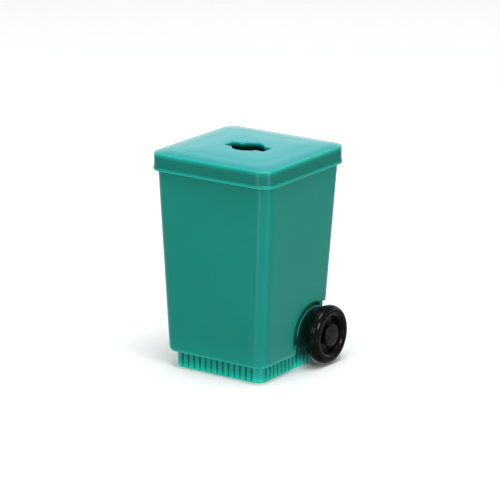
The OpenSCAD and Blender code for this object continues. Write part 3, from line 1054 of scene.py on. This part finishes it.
def black_plastic(name, roughness, level, gloss):
    """Black moulded plastic with a faint unevenness in its colour and its gloss."""
    n = Nodes(bpy.data.materials.new(name))
    shade = n.map_range(n.noise(260, 3), 0.3, 0.7)
    return n.surface({
        "Base Color": n.mix(shade, pale(level), pale(level * 1.4)),
        "Roughness": n.map_range(n.noise(300, 2), 0.3, 0.7, roughness * 0.9, roughness * 1.15),
        "Normal": n.bump(n.noise(160, 1), 0.0001, 0.12),
        "Specular IOR Level": gloss,
    })


def steel(name, level, roughness, grind):
    """Bare steel with fine grinding lines across the piece's width."""
    n = Nodes(bpy.data.materials.new(name))
    lines = n.noise(900, 3, stretch=(0.06, 1.0, 6.0))
    return n.surface({
        "Base Color": n.mix(lines, pale(level * 0.8), (level, level * 1.01, level * 1.03)),
        "Roughness": n.map_range(lines, 0.3, 0.7, roughness * 0.8, roughness * 1.4),
        "Normal": n.bump(lines, 0.00002, 0.3 * grind),
        "Metallic": 1.0,
    })


# ---------------------------------------------------------------- camera, floor and light
# Angles in degrees, with azimuth 0 at the front (-Y) and 90 on the right (+X), and lengths in metres
CAMERA_AZIMUTH = 34.98
CAMERA_ELEVATION = 16.24
CAMERA_DISTANCE = 0.779
CAMERA_LENS = 220.1
CAMERA_TARGET_SIDE = 0.453 * MM
CAMERA_TARGET_Z = 29.75 * MM
FLOOR_HALF = 4.0
CEILING_STRENGTH = 2.3

# Softboxes, as (name, azimuth, elevation, distance, size, brightness, tint)
SOFTBOXES = (
    ("top_softbox", 60, 80, 0.7, (0.3, 0.3), 7.0, (0.96, 1.0, 1.04)),
    ("front_softbox", -8, 24, 0.9, (0.26, 0.28), 10.7, (1, 1, 1)),
    ("right_softbox", 75, 22, 0.9, (0.26, 0.28), 12.2, (1, 1, 1)),
)

# The room's brightness from straight below (-1) to straight above (1): in front of the object, to
# the sides and behind, and right behind it
ROOM_FRONT = ((-1.0, pale(0.07)), (0.0, pale(0.09)), (0.1, pale(0.16)), (1.0, pale(0.14)))
ROOM_SIDES = (
    (-1.0, pale(0.4)), (-0.4, pale(0.55)), (-0.33, pale(0.42)), (-0.26, pale(0.12)),
    (-0.04, pale(0.16)), (0.02, pale(0.9, 1.06)), (0.2, pale(1.0, 1.08)),
    (0.36, pale(0.5, 1.06)), (0.52, pale(0.14)), (1.0, pale(0.12)),
)
ROOM_BEHIND = (
    (-1.0, pale(0.4)), (-0.5, pale(0.8)), (-0.1, pale(1.3, 1.02)), (0.0, pale(1.6, 1.02)),
    (0.1, pale(1.4, 1.04)), (0.2, pale(1.05, 1.08)), (0.28, pale(0.75, 1.08)),
    (0.36, pale(0.5, 1.06)), (0.52, pale(0.14)), (1.0, pale(0.12)),
)

# Bright low patches beside the object, as (azimuth, elevation), with their radius and glow
ROOM_PATCHES = ((-11.5, -13), (75.8, -13))
PATCH_RADIUS = 6
PATCH_GLOW = pale(2.5, 1.04)


def direction(azimuth, elevation):
    """Unit vector from the object."""
    a, e = math.radians(azimuth), math.radians(elevation)
    return Vector((math.sin(a) * math.cos(e), -math.cos(a) * math.cos(e), math.sin(e)))


def aim(obj, towards, distance, side=0.0):
    """Puts a camera or a light at a distance from the object's middle, looking back at it."""
    right = direction(CAMERA_AZIMUTH + 90, 0)
    obj.location = right * side + Vector((0, 0, CAMERA_TARGET_Z)) + towards * distance
    obj.rotation_euler = (-towards).to_track_quat("-Z", "Y").to_euler()
    bpy.context.scene.collection.objects.link(obj)


def build_camera():
    data = bpy.data.cameras.new("camera")
    data.lens = CAMERA_LENS
    data.sensor_width = 36.0
    data.clip_start = 0.05
    data.clip_end = 20.0
    camera = bpy.data.objects.new("camera", data)
    aim(camera, direction(CAMERA_AZIMUTH, CAMERA_ELEVATION), CAMERA_DISTANCE, CAMERA_TARGET_SIDE)
    bpy.context.scene.camera = camera


def build_floor():
    """A wide sheet of pale paper, hidden from reflections."""
    bm = bmesh.new()
    corners = ((-1, -1), (1, -1), (1, 1), (-1, 1))
    bm.faces.new([bm.verts.new((x * FLOOR_HALF, y * FLOOR_HALF, 0)) for x, y in corners])
    floor = new_object("floor", bm)
    paper = Nodes(bpy.data.materials.new("floor_paper"))
    floor.data.materials.append(
        paper.surface({"Base Color": pale(0.82), "Roughness": 0.9, "Specular IOR Level": 0.1})
    )
    floor.visible_glossy = False


def area_light(name, azimuth, elevation, distance, size, brightness, tint):
    """A softbox that faces the object, set by how bright it looks."""
    data = bpy.data.lights.new(name, "AREA")
    data.shape = "RECTANGLE"
    data.size, data.size_y = size
    data.energy = brightness * math.pi * size[0] * size[1]
    data.color = tint
    aim(bpy.data.objects.new(name, data), direction(azimuth, elevation), distance)


def ceiling_light():
    """Wide even light from straight above, which keeps the floor pale out to its edges."""
    data = bpy.data.lights.new("ceiling", "SUN")
    data.energy = CEILING_STRENGTH
    data.angle = math.radians(70)
    light = bpy.data.objects.new("ceiling", data)
    light.visible_glossy = False
    bpy.context.scene.collection.objects.link(light)


def facing(n, outwards, target, start, end):
    """Rises smoothly from 0 to 1 as a direction turns to the target, from one cosine to the other."""
    dot = n.add("ShaderNodeVectorMath", {0: outwards, 1: target}, operation="DOT_PRODUCT")
    return n.map_range(dot.outputs["Value"], start, end, kind="SMOOTHSTEP")


def build_world():
    """A dim room with a bright low band behind the object, as seen from the front right."""
    world = bpy.data.worlds.new("room")
    bpy.context.scene.world = world
    n = Nodes(world)
    outwards = n.place("Generated")
    height = n.map_range(n.split(outwards)["Z"], -1, 1)
    front, sides, behind = (n.ramp(height, stops) for stops in (ROOM_FRONT, ROOM_SIDES, ROOM_BEHIND))
    back = -direction(CAMERA_AZIMUTH, 0)
    colour = n.mix(facing(n, outwards, back, -0.2, 0.7), front, sides)
    colour = n.mix(facing(n, outwards, back, 0.6, 0.9), colour, behind)
    edges = [math.cos(math.radians(PATCH_RADIUS * share)) for share in (1.3, 0.8)]
    for azimuth, elevation in ROOM_PATCHES:
        patch = facing(n, outwards, direction(azimuth, elevation), *edges)
        colour = n.mix(patch, colour, PATCH_GLOW, "ADD")
    n.feed(n.tree.nodes["Background"], {"Color": colour})


def build_stage():
    build_camera()
    build_floor()
    build_world()
    ceiling_light()
    for softbox in SOFTBOXES:
        area_light(*softbox)


build_lid()
build_shell()
build_base()
build_wheel_set()
build_axle()
build_sharpener_body()
build_blade()
build_screw()
build_stage()
bpy.context.scene.view_settings.view_transform = "Standard"
